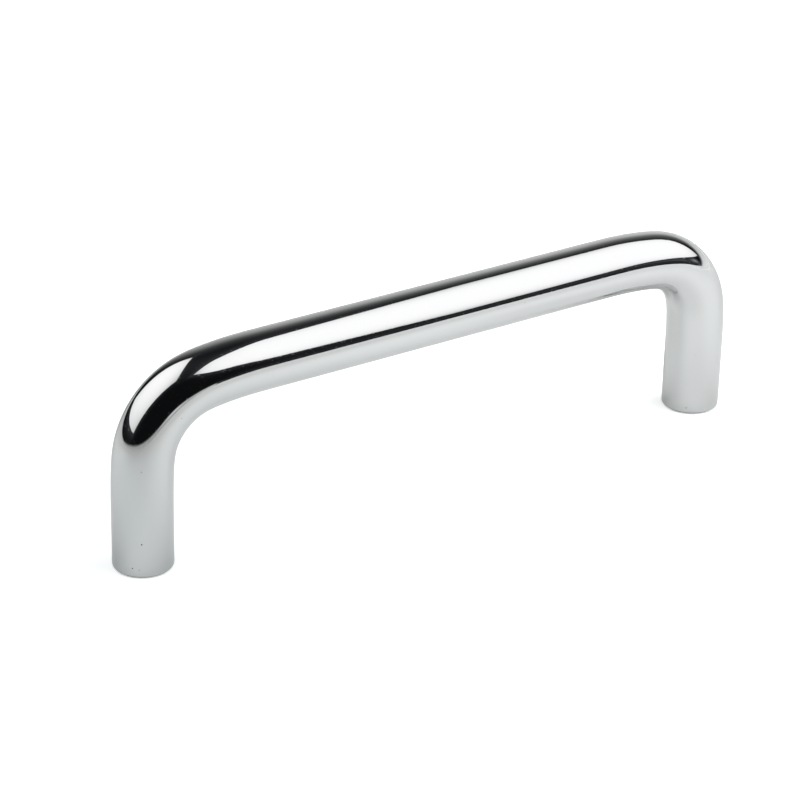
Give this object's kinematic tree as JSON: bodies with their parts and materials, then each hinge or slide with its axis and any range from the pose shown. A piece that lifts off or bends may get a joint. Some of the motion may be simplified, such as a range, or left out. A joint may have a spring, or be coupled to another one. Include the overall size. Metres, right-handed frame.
{
  "type": "bar pull",
  "caption": "Chrome plated wire pull: a straight round bar with both ends bent down into legs tapped for screws.",
  "frame": {"origin": "midway between the two screw holes, on the mounting plane under the feet", "axes": "+X along the bar, +Z away from the drawer front"},
  "size_m": [0.0968, 0.008, 0.0286],
  "materials": {
    "chrome": "polished chrome plating on a steel rod"
  },
  "bodies": {
    "root": {"bar_pull": "chrome"}
  },
  "joints": []
}
